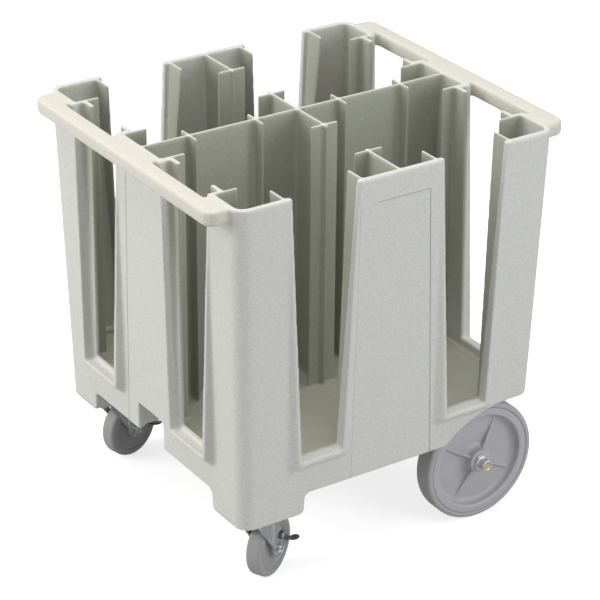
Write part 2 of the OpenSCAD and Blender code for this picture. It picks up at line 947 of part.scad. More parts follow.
// Pin riveted in the fork leg that carries the brake lever.
module brake_pin() {
  color("#b6b8ba")
    translate([trail + brake_a, -leg_in, brake_z])
      rotate([90, 0, 0])
        union() {
          cylinder(d = 6, h = leg_t + brake_t + 2 * face_gap);
          translate([0, 0, leg_t + brake_t + 2 * face_gap])
            cylinder(d = 11, h = 2);
        }
}

module brake_lever() {
  color("#4a4c4e")
    difference() {
      union() {
        translate([trail, -brake_in, 0])
          rotate([90, 0, 0])
            linear_extrude(height = brake_t)
              polygon([[-1, 112], [14, 108], [22, 88], [40, 60], [44, 52], [40, 47],
                [30, 50], [18, 68], [4, 74], [-4, 92]]);
        box(trail + 34, trail + 66, -brake_in - 12, -brake_in, 47, 50.5);
      }
      translate([trail + brake_a, -60, brake_z])
        rotate([-90, 0, 0])
          cylinder(d = 6 + 2 * run_gap, h = 60);
    }
}

module caster_plate_near() {
  near_caster()
    top_plate();
}

module caster_plate_far() {
  far_caster()
    top_plate();
}

module caster_bolts_near() {
  near_caster()
    plate_bolts();
}

module caster_bolts_far() {
  far_caster()
    plate_bolts();
}

module swivel_race_near() {
  near_caster()
    swivel_race();
}

module swivel_race_far() {
  far_caster()
    swivel_race();
}

module kingpin_near() {
  near_caster()
    kingpin();
}

module kingpin_far() {
  far_caster()
    kingpin();
}

module fork_near() {
  near_caster(near_turn)
    fork();
}

module fork_far() {
  far_caster(far_turn)
    fork();
}

module caster_axle_near() {
  near_caster(near_turn)
    caster_axle();
}

module caster_axle_far() {
  far_caster(far_turn)
    caster_axle();
}

module caster_spacer_near() {
  near_caster(near_turn)
    caster_spacer();
}

module caster_spacer_far() {
  far_caster(far_turn)
    caster_spacer();
}

module caster_core_near() {
  near_caster(near_turn)
    caster_core();
}

module caster_core_far() {
  far_caster(far_turn)
    caster_core();
}

module caster_tyre_near() {
  near_caster(near_turn)
    caster_tyre();
}

module caster_tyre_far() {
  far_caster(far_turn)
    caster_tyre();
}

module brake_pin_near() {
  near_caster(near_turn)
    brake_pin();
}

module brake_pin_far() {
  far_caster(far_turn)
    brake_pin();
}

module brake_lever_near() {
  near_caster(near_turn)
    brake_lever();
}

module brake_lever_far() {
  far_caster(far_turn)
    brake_lever();
}

deck();
keel_ribs();
skirt_near();
skirt_far();
skirt_caster_end();
skirt_wheel_end();
caster_block_near();
caster_block_far();
axle_housing_near();
axle_housing_far();
post_near_caster();
post_near_side();
post_near_wheel();
post_far_caster();
post_far_side();
post_far_wheel();
post_caster_end();
post_wheel_end();
divider_long();
divider_fins();
divider_near();
divider_far();
handle_caster_end();
handle_wheel_end();
axle();
washers_near();
washers_far();
wheel_bush_near();
wheel_bush_far();
wheel_core_near();
wheel_core_far();
tyre_near();
tyre_far();
axle_cap_near();
axle_cap_far();
caster_plate_near();
caster_plate_far();
caster_bolts_near();
caster_bolts_far();
swivel_race_near();
swivel_race_far();
kingpin_near();
kingpin_far();
fork_near();
fork_far();
caster_axle_near();
caster_axle_far();
caster_spacer_near();
caster_spacer_far();
caster_core_near();
caster_core_far();
caster_tyre_near();
caster_tyre_far();
brake_pin_near();
brake_pin_far();
brake_lever_near();
brake_lever_far();
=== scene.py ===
"""Dish cart: a speckled polyethylene body with four wells, on two large fixed
wheels and two braked swivel casters. Metres, floor at z = 0, casters at -X."""

import json
import math

import bmesh
import bpy
from mathutils import Matrix, Vector

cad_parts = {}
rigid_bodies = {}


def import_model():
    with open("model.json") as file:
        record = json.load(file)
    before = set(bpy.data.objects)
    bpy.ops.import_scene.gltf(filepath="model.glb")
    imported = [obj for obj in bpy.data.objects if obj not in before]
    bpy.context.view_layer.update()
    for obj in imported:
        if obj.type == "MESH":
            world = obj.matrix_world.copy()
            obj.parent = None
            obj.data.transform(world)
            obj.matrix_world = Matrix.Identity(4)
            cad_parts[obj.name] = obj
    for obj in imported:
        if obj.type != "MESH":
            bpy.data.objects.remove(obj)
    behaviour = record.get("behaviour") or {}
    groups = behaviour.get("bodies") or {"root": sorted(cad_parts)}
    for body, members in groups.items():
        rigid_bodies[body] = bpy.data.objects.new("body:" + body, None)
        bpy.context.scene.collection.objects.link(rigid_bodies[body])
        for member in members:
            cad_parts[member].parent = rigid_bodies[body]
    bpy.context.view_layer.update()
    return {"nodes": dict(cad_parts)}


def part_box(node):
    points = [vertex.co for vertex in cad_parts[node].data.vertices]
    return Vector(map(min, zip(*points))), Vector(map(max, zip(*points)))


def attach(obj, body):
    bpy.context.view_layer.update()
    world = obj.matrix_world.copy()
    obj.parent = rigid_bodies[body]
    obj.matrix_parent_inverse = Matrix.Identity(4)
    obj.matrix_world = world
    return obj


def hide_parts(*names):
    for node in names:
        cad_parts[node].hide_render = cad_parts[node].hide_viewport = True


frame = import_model()

# Camera.
# A long lens set a little above the handles, looking down over the near
# corner that has the swivel casters.
azimuth, elevation, roll = math.radians(-33.6), math.radians(26.8), math.radians(0.5)
camera_back = Vector((
    math.sin(azimuth) * math.cos(elevation),
    -math.cos(azimuth) * math.cos(elevation),
    math.sin(elevation),
))
camera_right = Vector((math.cos(azimuth), math.sin(azimuth), 0.0))
camera_up = camera_back.cross(camera_right)
camera_turn = Matrix((camera_right, camera_up, camera_back)).transposed()
camera = bpy.data.objects.new("camera", bpy.data.cameras.new("camera"))
bpy.context.scene.collection.objects.link(camera)
camera.data.lens = 148.9
camera.data.sensor_width = 36.0
camera.data.clip_start, camera.data.clip_end = 0.05, 60.0
camera.matrix_world = Matrix.Translation((-2.3821, -3.6000, 2.5897)) @ (
    camera_turn @ Matrix.Rotation(roll, 3, "Z")
).to_4x4()
bpy.context.scene.camera = camera

# Floor and light.
# A plain white sweep under broad soft boxes: the end with the casters is the
# lighter side and the tops of the posts are the lightest.
bpy.context.scene.view_settings.view_transform = "Standard"
floor_mesh = bpy.data.meshes.new("floor")
floor_mesh.from_pydata([(-9, -9, 0), (9, -9, 0), (9, 9, 0), (-9, 9, 0)], [], [(0, 1, 2, 3)])
floor = bpy.data.objects.new("floor", floor_mesh)
bpy.context.scene.collection.objects.link(floor)
floor_finish = bpy.data.materials.new("white_floor")
floor_finish.use_nodes = True
floor_nodes, floor_links = floor_finish.node_tree.nodes, floor_finish.node_tree.links
floor_shader = floor_nodes["Principled BSDF"]
floor_shader.inputs["Base Color"].default_value = (0.6, 0.6, 0.6, 1)
floor_shader.inputs["Roughness"].default_value = 0.9
floor_shader.inputs["Emission Color"].default_value = (1, 1, 1, 1)
floor_rays = floor_nodes.new("ShaderNodeLightPath")
floor_glow = floor_nodes.new("ShaderNodeMath")
floor_glow.operation = "MULTIPLY"
floor_glow.inputs[1].default_value = 0.7
floor_links.new(floor_rays.outputs["Is Camera Ray"], floor_glow.inputs[0])
floor_links.new(floor_glow.outputs[0], floor_shader.inputs["Emission Strength"])
floor_mesh.materials.append(floor_finish)

world = bpy.data.worlds.new("studio")
bpy.context.scene.world = world
world.use_nodes = True
world_nodes, world_links = world.node_tree.nodes, world.node_tree.links
sky = world_nodes["Background"]
sky.inputs["Color"].default_value = (0.94, 0.97, 1.0, 1)
sky.inputs["Strength"].default_value = 0.36
backdrop = world_nodes.new("ShaderNodeBackground")
backdrop.inputs["Color"].default_value = (1, 1, 1, 1)
backdrop.inputs["Strength"].default_value = 1.0
sky_rays = world_nodes.new("ShaderNodeLightPath")
backdrop_share = sky_rays.outputs["Is Camera Ray"]
for ray_kind in ("Is Glossy Ray", "Is Transmission Ray"):
    ray_sum = world_nodes.new("ShaderNodeMath")
    ray_sum.operation = "ADD"
    ray_sum.use_clamp = True
    world_links.new(backdrop_share, ray_sum.inputs[0])
    world_links.new(sky_rays.outputs[ray_kind], ray_sum.inputs[1])
    backdrop_share = ray_sum.outputs[0]
sky_mix = world_nodes.new("ShaderNodeMixShader")
world_links.new(backdrop_share, sky_mix.inputs[0])
world_links.new(sky.outputs[0], sky_mix.inputs[1])
world_links.new(backdrop.outputs[0], sky_mix.inputs[2])
world_links.new(sky_mix.outputs[0], world_nodes["World Output"].inputs["Surface"])

light_aim = Vector((0, 0, 0.4))
for light_name, light_at, light_size, light_watts, light_tint in (
    ("top_box", (-0.3, -0.2, 3.2), 2.6, 59.0, (1.0, 0.965, 0.91)),
    ("end_box", (-3.3, 1.5, 1.8), 2.2, 80.0, (1.0, 0.99, 0.97)),
    ("side_box", (1.7, -3.4, 1.9), 2.4, 60.0, (0.97, 0.985, 1.0)),
):
    lamp = bpy.data.lights.new(light_name, "AREA")
    lamp.shape = "SQUARE"
    lamp.size = light_size
    lamp.energy = light_watts
    lamp.color = light_tint
    lamp_object = bpy.data.objects.new(light_name, lamp)
    lamp_object.location = light_at
    lamp_object.rotation_euler = (light_aim - lamp_object.location).to_track_quat("-Z", "Y").to_euler()
    bpy.context.scene.collection.objects.link(lamp_object)

# Moulded body.
# One thick polyethylene moulding: deck, skirts, posts, dividers, handles and
# the blocks for the running gear flow into each other with soft fillets.
body_nodes = [
    "deck", "keel_ribs", "skirt_near", "skirt_far", "skirt_caster_end", "skirt_wheel_end",
    "caster_block_near", "caster_block_far", "axle_housing_near", "axle_housing_far",
    "post_near_caster", "post_near_side", "post_near_wheel", "post_far_caster",
    "post_far_side", "post_far_wheel", "post_caster_end", "post_wheel_end",
    "divider_long", "divider_fins", "divider_near", "divider_far",
    "handle_caster_end", "handle_wheel_end",
]


def welded(node):
    """A closed copy of a CAD solid, for a piece that takes its place."""
    mesh = frame["nodes"][node].data.copy()
    mesh.materials.clear()
    work = bmesh.new()
    work.from_mesh(mesh)
    bmesh.ops.remove_doubles(work, verts=work.verts, dist=2e-6)
    work.to_mesh(mesh)
    work.free()
    return mesh


def settled(thing, name):
    """A new object holding thing's mesh with its modifiers worked in."""
    depsgraph = bpy.context.evaluated_depsgraph_get()
    mesh = bpy.data.meshes.new_from_object(thing.evaluated_get(depsgraph))
    mesh.name = name
    made = bpy.data.objects.new(name, mesh)
    bpy.context.scene.collection.objects.link(made)
    bpy.data.objects.remove(thing)
    return made


def softened(name, nodes, voxel, rounds, adaptivity):
    """One skin round the CAD solids, with every edge and inside corner eased."""
    joined = bpy.data.collections.new("joined")
    bpy.context.scene.collection.children.link(joined)
    for node in nodes[1:]:
        joined.objects.link(bpy.data.objects.new("solid_" + node, welded(node)))
    work = bpy.data.objects.new("solid_" + nodes[0], welded(nodes[0]))
    bpy.context.scene.collection.objects.link(work)
    if len(nodes) > 1:
        fuse = work.modifiers.new("fuse", "BOOLEAN")
        fuse.operation, fuse.solver = "UNION", "MANIFOLD"
        fuse.operand_type, fuse.collection = "COLLECTION", joined
    grain = work.modifiers.new("grain", "REMESH")
    grain.mode, grain.voxel_size, grain.adaptivity = "VOXEL", voxel, 0.0
    ease = work.modifiers.new("ease", "SMOOTH")
    ease.factor, ease.iterations = 0.5, rounds
    trim = work.modifiers.new("trim", "REMESH")
    trim.mode, trim.voxel_size, trim.adaptivity = "VOXEL", voxel, adaptivity
    work = settled(work, name)
    for solid in list(joined.objects):
        bpy.data.objects.remove(solid)
    bpy.data.collections.remove(joined)
    work.data.shade_smooth()
    return work


def fitted(piece, material, slot, body, *nodes):
    """Gives a piece its material and its place on a body, for the CAD nodes."""
    piece.data.materials.clear()
    piece.data.materials.append(material)
    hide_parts(*nodes)
    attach(piece, body)


def surface(name, roughness, metallic=0.0):
    """A new material with its node tree and its shader."""
    material = bpy.data.materials.new(name)
    material.use_nodes = True
    shader = material.node_tree.nodes["Principled BSDF"]
    shader.inputs["Roughness"].default_value = roughness
    shader.inputs["Metallic"].default_value = metallic
    return material, material.node_tree, shader


def group_of(name, inputs, outputs):
    """An empty node group with float inputs and outputs that shaders share."""
    tree = bpy.data.node_groups.new(name, "ShaderNodeTree")
    for label, value in inputs:
        socket = tree.interface.new_socket(label, in_out="INPUT", socket_type="NodeSocketFloat")
        socket.default_value = value
    for label in outputs:
        tree.interface.new_socket(label, in_out="OUTPUT", socket_type="NodeSocketFloat")
    return tree, tree.nodes.new("NodeGroupInput"), tree.nodes.new("NodeGroupOutput")


def math_node(tree, operation, first, second=0.0, third=0.0):
    """A math node whose inputs are sockets or plain numbers."""
    node = tree.nodes.new("ShaderNodeMath")
    node.operation = operation
    for index, value in enumerate((first, second, third)):
        if isinstance(value, (int, float)):
            node.inputs[index].default_value = value
        else:
            tree.links.new(value, node.inputs[index])
    return node.outputs[0]


def blend_colors(tree, factor, dark, light):
    """A colour between two colours, by a mask."""
    node = tree.nodes.new("ShaderNodeMix")
    node.data_type = "RGBA"
    node.inputs[6].default_value = (*dark, 1)
    if isinstance(light, tuple):
        node.inputs[7].default_value = (*light, 1)
    else:
        tree.links.new(light, node.inputs[7])
    tree.links.new(factor, node.inputs[0])
    return node.outputs[2]


def use_group(tree, group, **values):
    """A group placed in a tree, with its numbers set."""
    node = tree.nodes.new("ShaderNodeGroup")
    node.node_tree = group
    for label, value in values.items():
        node.inputs[label.replace("_", " ")].default_value = value
    return node


def bump_into(tree, shader, height, distance, strength=1.0):
    """Height from a mask, worked into a shader's normal."""
    node = tree.nodes.new("ShaderNodeBump")
    node.inputs["Strength"].default_value = strength
    node.inputs["Distance"].default_value = distance
    tree.links.new(height, node.inputs["Height"])
    tree.links.new(node.outputs[0], shader.inputs["Normal"])


# Fine powdery fleck of the moulding, one fleck about a millimetre across.
fleck_group, fleck_in, fleck_out = group_of(
    "fine_fleck", (("Size", 900.0), ("Contrast", 1.0)), ("Fleck",))
fleck_at = fleck_group.nodes.new("ShaderNodeTexCoord")
fleck_cells = fleck_group.nodes.new("ShaderNodeTexVoronoi")
fleck_group.links.new(fleck_at.outputs["Object"], fleck_cells.inputs["Vector"])
fleck_group.links.new(fleck_in.outputs["Size"], fleck_cells.inputs["Scale"])
fleck_split = fleck_group.nodes.new("ShaderNodeSeparateColor")
fleck_group.links.new(fleck_cells.outputs["Color"], fleck_split.inputs[0])
fleck_haze = fleck_group.nodes.new("ShaderNodeTexNoise")
fleck_haze.inputs["Detail"].default_value = 4.0
fleck_group.links.new(fleck_at.outputs["Object"], fleck_haze.inputs["Vector"])
fleck_group.links.new(
    math_node(fleck_group, "MULTIPLY", fleck_in.outputs["Size"], 0.3), fleck_haze.inputs["Scale"])
fleck_sum = math_node(fleck_group, "ADD",
                      math_node(fleck_group, "MULTIPLY", fleck_split.outputs[0], 0.4),
                      math_node(fleck_group, "MULTIPLY", fleck_haze.outputs["Fac"], 0.6))
fleck_group.links.new(
    math_node(fleck_group, "MULTIPLY_ADD", math_node(fleck_group, "SUBTRACT", fleck_sum, 0.5),
              fleck_in.outputs["Contrast"], 0.5), fleck_out.inputs["Fleck"])

# Slow cloudy variation that every hard surface has a little of.
cloud_group, cloud_in, cloud_out = group_of(
    "cloud", (("Size", 20.0), ("Low", 0.0), ("High", 1.0)), ("Cloud",))
cloud_at = cloud_group.nodes.new("ShaderNodeTexCoord")
cloud_noise = cloud_group.nodes.new("ShaderNodeTexNoise")
cloud_noise.inputs["Detail"].default_value = 5.0
cloud_noise.inputs["Roughness"].default_value = 0.6
cloud_group.links.new(cloud_at.outputs["Object"], cloud_noise.inputs["Vector"])
cloud_group.links.new(cloud_in.outputs["Size"], cloud_noise.inputs["Scale"])
cloud_range = cloud_group.nodes.new("ShaderNodeMapRange")
cloud_group.links.new(cloud_noise.outputs["Fac"], cloud_range.inputs["Value"])
cloud_range.inputs["From Min"].default_value = 0.3
cloud_range.inputs["From Max"].default_value = 0.7
cloud_group.links.new(cloud_in.outputs["Low"], cloud_range.inputs["To Min"])
cloud_group.links.new(cloud_in.outputs["High"], cloud_range.inputs["To Max"])
cloud_group.links.new(cloud_range.outputs[0], cloud_out.inputs["Cloud"])

# Thin parting lines of the mould on the near and far middle posts and on the
# posts of both ends, each a straight line that leans with its post.
line_group, _, line_out = group_of("parting_lines", (), ("Line",))
line_at = line_group.nodes.new("ShaderNodeTexCoord")
line_split = line_group.nodes.new("ShaderNodeSeparateXYZ")
line_group.links.new(line_at.outputs["Object"], line_split.inputs[0])
line_x, line_y, line_z = (line_split.outputs[k] for k in range(3))


def leaning_line(across, top, top_z, lean, half_width):
    """Mask of a line that leans by lean metres a metre down from its top."""
    offset = math_node(line_group, "SUBTRACT", across, math_node(
        line_group, "MULTIPLY_ADD", math_node(line_group, "SUBTRACT", top_z, line_z), lean, top))
    near_line = math_node(line_group, "LESS_THAN", math_node(line_group, "ABSOLUTE", offset), half_width)
    below_top = math_node(line_group, "LESS_THAN", line_z, top_z)
    above_foot = math_node(line_group, "GREATER_THAN", line_z, 0.2)
    return math_node(line_group, "MULTIPLY", near_line, math_node(
        line_group, "MULTIPLY", below_top, above_foot))


side_lines = math_node(line_group, "ADD",
                       leaning_line(line_x, 0.063, 0.762, 0.050, 0.0007),
                       math_node(line_group, "MULTIPLY", 0.35,
                                 leaning_line(line_x, -0.089, 0.762, -0.004, 0.0006)))
top_line = math_node(line_group, "MULTIPLY",
                     math_node(line_group, "LESS_THAN", math_node(
                         line_group, "ABSOLUTE", math_node(line_group, "SUBTRACT", line_z, 0.762)), 0.0006),
                     math_node(line_group, "LESS_THAN", math_node(
                         line_group, "ABSOLUTE", math_node(line_group, "SUBTRACT", line_x, 0.005)), 0.058))
line_height = math_node(line_group, "SUBTRACT", line_z, 0.156)
side_skin = math_node(line_group, "GREATER_THAN", math_node(line_group, "ABSOLUTE", line_y),
                      math_node(line_group, "MULTIPLY_ADD", line_height, 0.02207, 0.3235))
end_skin = math_node(line_group, "GREATER_THAN", math_node(line_group, "ABSOLUTE", line_x),
                     math_node(line_group, "MULTIPLY_ADD", line_height, 0.02892, 0.325))
side_lines = math_node(line_group, "MULTIPLY", side_skin, math_node(
    line_group, "MULTIPLY_ADD", top_line, 0.6, side_lines))
end_lines = math_node(line_group, "MULTIPLY", end_skin,
                      leaning_line(line_y, 0.046, 0.748, 0.071, 0.0007))
line_group.links.new(
    math_node(line_group, "MINIMUM", math_node(line_group, "ADD", side_lines, end_lines), 1.0),
    line_out.inputs["Line"])

# Masks for painted light on the moulding: painted shade deep among the wells, and a painted warm top light
# on the handles.
painted_light_group, _, place_out = group_of("painted_light_on_body", (), ("Inside", "Handle_warm_light"))
place_at = painted_light_group.nodes.new("ShaderNodeTexCoord")
place_split = painted_light_group.nodes.new("ShaderNodeSeparateXYZ")
painted_light_group.links.new(place_at.outputs["Object"], place_split.inputs[0])
place_x = math_node(painted_light_group, "ABSOLUTE", place_split.outputs[0])
place_y = math_node(painted_light_group, "ABSOLUTE", place_split.outputs[1])
place_z = place_split.outputs[2]


def ramp_between(tree, value, start, end):
    """A smooth mask that goes from 0 at start to 1 at end."""
    node = tree.nodes.new("ShaderNodeMapRange")
    node.interpolation_type = "SMOOTHSTEP"
    tree.links.new(value, node.inputs["Value"])
    node.inputs["From Min"].default_value = start
    node.inputs["From Max"].default_value = end
    return node.outputs[0]


def within_wall(across, draft, outer, inner):
    """Mask that rises from 0 at a drafted wall's outer skin to 1 inside it."""
    above_sill = math_node(painted_light_group, "SUBTRACT", place_z, sill_height)
    return ramp_between(
        painted_light_group, math_node(painted_light_group, "MULTIPLY_ADD", above_sill, -draft, across), outer, inner)


sill_height = 0.277
# Painted shade mask: 1 inside the drafted outer walls, between the deck and the post tops, fading out
# towards the walls.
well_shade_x = within_wall(place_x, 0.029, 0.327, 0.312)
well_shade_y = within_wall(place_y, 0.022, 0.3245, 0.310)
well_shade_z = ramp_between(painted_light_group, place_z, 0.256, 0.263)
well_shade_top = ramp_between(painted_light_group, place_z, 0.8128, 0.8095)
painted_light_group.links.new(
    math_node(painted_light_group, "MULTIPLY", math_node(painted_light_group, "MULTIPLY", well_shade_x, well_shade_y),
              math_node(painted_light_group, "MULTIPLY", well_shade_z, well_shade_top)), place_out.inputs["Inside"])
# Painted warm top light: a mask over the handle bars at the tops of both ends.
painted_light_group.links.new(
    math_node(painted_light_group, "MULTIPLY", ramp_between(painted_light_group, place_x, 0.347, 0.351),
              ramp_between(painted_light_group, place_z, 0.775, 0.785)), place_out.inputs["Handle_warm_light"])

plastic, plastic_tree, plastic_shader = surface("speckled_polyethylene", 0.5)
plastic_fleck = use_group(plastic_tree, fleck_group, Size=620.0, Contrast=1.5)
plastic_cloud = use_group(plastic_tree, cloud_group, Size=9.0, Low=0.44, High=0.56)
plastic_line = use_group(plastic_tree, line_group)
plastic_painted_light = use_group(plastic_tree, painted_light_group)
plastic_tone = blend_colors(
    plastic_tree, plastic_fleck.outputs[0], (0.54, 0.545, 0.515), (0.69, 0.69, 0.66))
lined = plastic_tree.nodes.new("ShaderNodeMix")
lined.data_type = "RGBA"
lined.inputs[7].default_value = (0.2, 0.2, 0.19, 1)


def toned(tree, color, mask, tint):
    """A colour multiplied by a tint where a mask says so."""
    node = tree.nodes.new("ShaderNodeMix")
    node.data_type, node.blend_type = "RGBA", "MULTIPLY"
    node.inputs[7].default_value = (*tint, 1)
    tree.links.new(color, node.inputs[6])
    tree.links.new(mask, node.inputs[0])
    return node.outputs[2]


# Painted shade: deep among the wells the moulding is darker and greener, standing in for the shade of the
# posts and dividers.
plastic_tone = toned(plastic_tree, plastic_tone, plastic_painted_light.outputs["Inside"], (0.62, 0.635, 0.56))
# Painted warm light: the handles are tinted warmer, standing in for the warm light from above.
plastic_tone = toned(plastic_tree, plastic_tone, plastic_painted_light.outputs["Handle_warm_light"], (1.0, 0.975, 0.915))
plastic_tree.links.new(plastic_tone, lined.inputs[6])
plastic_tree.links.new(plastic_line.outputs[0], lined.inputs[0])
plastic_tree.links.new(lined.outputs[2], plastic_shader.inputs["Base Color"])
plastic_tree.links.new(plastic_cloud.outputs[0], plastic_shader.inputs["Roughness"])
bump_into(plastic_tree, plastic_shader, math_node(
    plastic_tree, "SUBTRACT", math_node(plastic_tree, "MULTIPLY", plastic_fleck.outputs[0], 0.12),
    plastic_line.outputs[0]), 0.0006)

moulding = softened("body_moulding", body_nodes, voxel=0.002, rounds=9, adaptivity=0.012)
fitted(moulding, plastic, "cart_plastic", "cart_body", *body_nodes)

# Axle.
# A round steel bar through both housings, zinc plated and passivated yellow,
# which shows at its two ends inside the caps and across under the deck.
def clouded(name, metallic, size, dark, light, gloss, bump=0.0):
    """A metal finish whose tone and roughness drift together in soft clouds."""
    smooth, rough = gloss
    material, tree, shader = surface(name, smooth, metallic)
    cloud = use_group(tree, cloud_group, Size=size).outputs[0]
    tree.links.new(blend_colors(tree, cloud, dark, light), shader.inputs["Base Color"])
    tree.links.new(
        math_node(tree, "MULTIPLY_ADD", cloud, rough - smooth, smooth), shader.inputs["Roughness"])
    if bump:
        bump_into(tree, shader, cloud, bump)
    return material


yellow_zinc = clouded(
    "yellow_passivated_steel", 0.85, 160.0, (0.56, 0.42, 0.14), (0.78, 0.68, 0.36), (0.28, 0.44))


def dressed(node, material):
    """A CAD solid that stays, with a better material in its slots."""
    for material_slot in frame["nodes"][node].material_slots:
        material_slot.material = material


dressed("axle", yellow_zinc)

# Hub bushes.
# Dark nylon sleeves pressed into the hubs; the axle runs in them.
def flecked(name, roughness, size, contrast, dark, light, bump=0.0):
    """A moulded finish with a fine fleck between two tones."""
    material, tree, shader = surface(name, roughness)
    fleck = use_group(tree, fleck_group, Size=size, Contrast=contrast).outputs[0]
    tree.links.new(blend_colors(tree, fleck, dark, light), shader.inputs["Base Color"])
    if bump:
        bump_into(tree, shader, fleck, bump)
    return material, tree, shader


nylon, _, _ = flecked(
    "dark_nylon", 0.5, 1500.0, 1.0, (0.02, 0.02, 0.022), (0.045, 0.045, 0.05))
for side in ("near", "far"):
    dressed("wheel_bush_" + side, nylon)

# Large wheel cores.
# Grey polypropylene discs with a stout hub, four tapered ribs on each face
# and a deep rounded rim that carries the tyre.
def uneven_gloss(tree, shader, size, smooth, rough):
    """Roughness that drifts slowly over a surface between two values."""
    cloud = use_group(tree, cloud_group, Size=size, Low=smooth, High=rough)
    tree.links.new(cloud.outputs[0], shader.inputs["Roughness"])


wheel_grey, wheel_grey_tree, wheel_grey_shader = flecked(
    "wheel_polypropylene", 0.46, 1300.0, 0.8, (0.41, 0.405, 0.43), (0.49, 0.485, 0.51), 0.0001)
uneven_gloss(wheel_grey_tree, wheel_grey_shader, 30.0, 0.38, 0.52)
for side in ("near", "far"):
    core = softened(
        "spoked_core_" + side, ["wheel_core_" + side], voxel=0.0011, rounds=7, adaptivity=0.01)
    fitted(core, wheel_grey, "wheel_plastic", side + "_wheel", "wheel_core_" + side)

# Large tyres.
# Solid grey rubber bands with round shoulders, a fine line where each meets
# its core and a faint mould line round the middle of the tread.
tyre_grey, tyre_grey_tree, tyre_grey_shader = flecked(
    "grey_tyre_rubber", 0.6, 1500.0, 1.0, (0.37, 0.368, 0.38), (0.455, 0.452, 0.465), 0.0002)
uneven_gloss(tyre_grey_tree, tyre_grey_shader, 24.0, 0.5, 0.68)


def eased(profile, reach):
    """A closed profile with each corner cut back and rounded."""
    points = []
    count = len(profile)
    for index, corner in enumerate(profile):
        corner = Vector(corner)
        before, after = Vector(profile[index - 1]), Vector(profile[(index + 1) % count])
        back_by = min(reach, (before - corner).length * 0.45)
        on_by = min(reach, (after - corner).length * 0.45)
        start = corner + (before - corner).normalized() * back_by
        end = corner + (after - corner).normalized() * on_by
        for step in range(5):
            t = step / 4
            points.append(start.lerp(corner, t).lerp(corner.lerp(end, t), t))
    return points


def turned(name, profile, reach, centre, axis, steps=144):
    """A solid of revolution: profile of radius and distance along axis, metres."""
    outline = eased(profile, reach)
    axis = Vector(axis).normalized()
    across = axis.cross(Vector((0, 0, 1))).normalized()
    upright = across.cross(axis)
    work = bmesh.new()
    rings = []
    for step in range(steps):
        angle = 2 * math.pi * step / steps
        out = across * math.cos(angle) + upright * math.sin(angle)
        rings.append([work.verts.new(Vector(centre) + out * p.x + axis * p.y) for p in outline])
    for step in range(steps):
        here, there = rings[step], rings[(step + 1) % steps]
        for index in range(len(outline)):
            onward = (index + 1) % len(outline)
            work.faces.new((here[index], here[onward], there[onward], there[index]))
    bmesh.ops.recalc_face_normals(work, faces=work.faces)
    mesh = bpy.data.meshes.new(name)
    work.to_mesh(mesh)
    work.free()
    mesh.shade_smooth()
    made = bpy.data.objects.new(name, mesh)
    bpy.context.scene.collection.objects.link(made)
    weigh = made.modifiers.new("weigh", "WEIGHTED_NORMAL")
    weigh.weight = 100
    return settled(made, name)


def mirrored(profile):
    """Half a wheel's profile, and the other half beyond its middle plane."""
    return profile + [(out, -along) for out, along in reversed(profile) if along]


def middle(node):
    """The middle of a CAD node's box."""
    low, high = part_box(node)
    return (Vector(low) + Vector(high)) / 2


for side in ("near", "far"):
    low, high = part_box("tyre_" + side)
    half = (high[1] - low[1]) / 2
    radius = (high[2] - low[2]) / 2
    tyre = turned(
        "grey_tyre_" + side,
        mirrored([
            (radius - 0.0119, -half + 0.0022), (radius - 0.0106, -half + 0.0004),
            (radius - 0.0065, -half + 0.0001), (radius - 0.0020, -half + 0.0020),
            (radius - 0.0001, -half + 0.0062), (radius - 0.0001, -0.0006), (radius - 0.0005, 0.0)]),
        0.0022, middle("tyre_" + side), (0, 1, 0), 192)
    fitted(tyre, tyre_grey, "wheel_rubber", side + "_wheel", "tyre_" + side)

# Washers.
# Plain zinc-plated washers on both sides of each hub.
zinc = clouded(
    "zinc_plated_steel", 0.9, 220.0, (0.40, 0.41, 0.43), (0.72, 0.73, 0.74), (0.24, 0.44), 0.00008)
for side in ("near", "far"):
    dressed("washers_" + side, zinc)

# Axle caps.
# Pressed zinc caps pushed on over the axle ends: a short tube with a rolled
# lip, a waist and a flange against the washer.
bar_low, bar_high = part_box("axle")
bore = (bar_high[2] - bar_low[2]) / 2
for side, outward in (("near", -1), ("far", 1)):
    low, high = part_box("axle_cap_" + side)
    radius = (high[2] - low[2]) / 2
    half = (high[1] - low[1]) / 2
    cap = turned(
        "push_cap_" + side,
        [(bore + 0.0001, -half), (radius, -half), (radius, -half + 0.0022),
         (radius - 0.0022, -half + 0.0036), (radius - 0.0022, half - 0.0048),
         (radius - 0.0010, half - 0.0034), (radius - 0.0010, half - 0.0006),
         (radius - 0.0026, half), (bore + 0.0012, half), (bore + 0.0001, half - 0.0014)],
        0.0012, middle("axle_cap_" + side), (0, outward, 0), 96)
    fitted(cap, zinc, "zinc_steel", "cart_body", "axle_cap_" + side)

# Caster plates.
# Pressed steel top plates, bolted flat up against the moulded blocks.
for side in ("near", "far"):
    plate = softened(
        "pressed_plate_" + side, ["caster_plate_" + side], voxel=0.0007, rounds=4, adaptivity=0.005)
    fitted(plate, zinc, "zinc_steel", "cart_body", "caster_plate_" + side)

# Caster bolts.
# Four hexagon-headed bolts a plate, turned up into the moulding.
for side in ("near", "far"):
    bolts = softened(
        "plate_bolts_" + side, ["caster_bolts_" + side], voxel=0.0004, rounds=3, adaptivity=0.003)
    fitted(bolts, zinc, "zinc_steel", "cart_body", "caster_bolts_" + side)

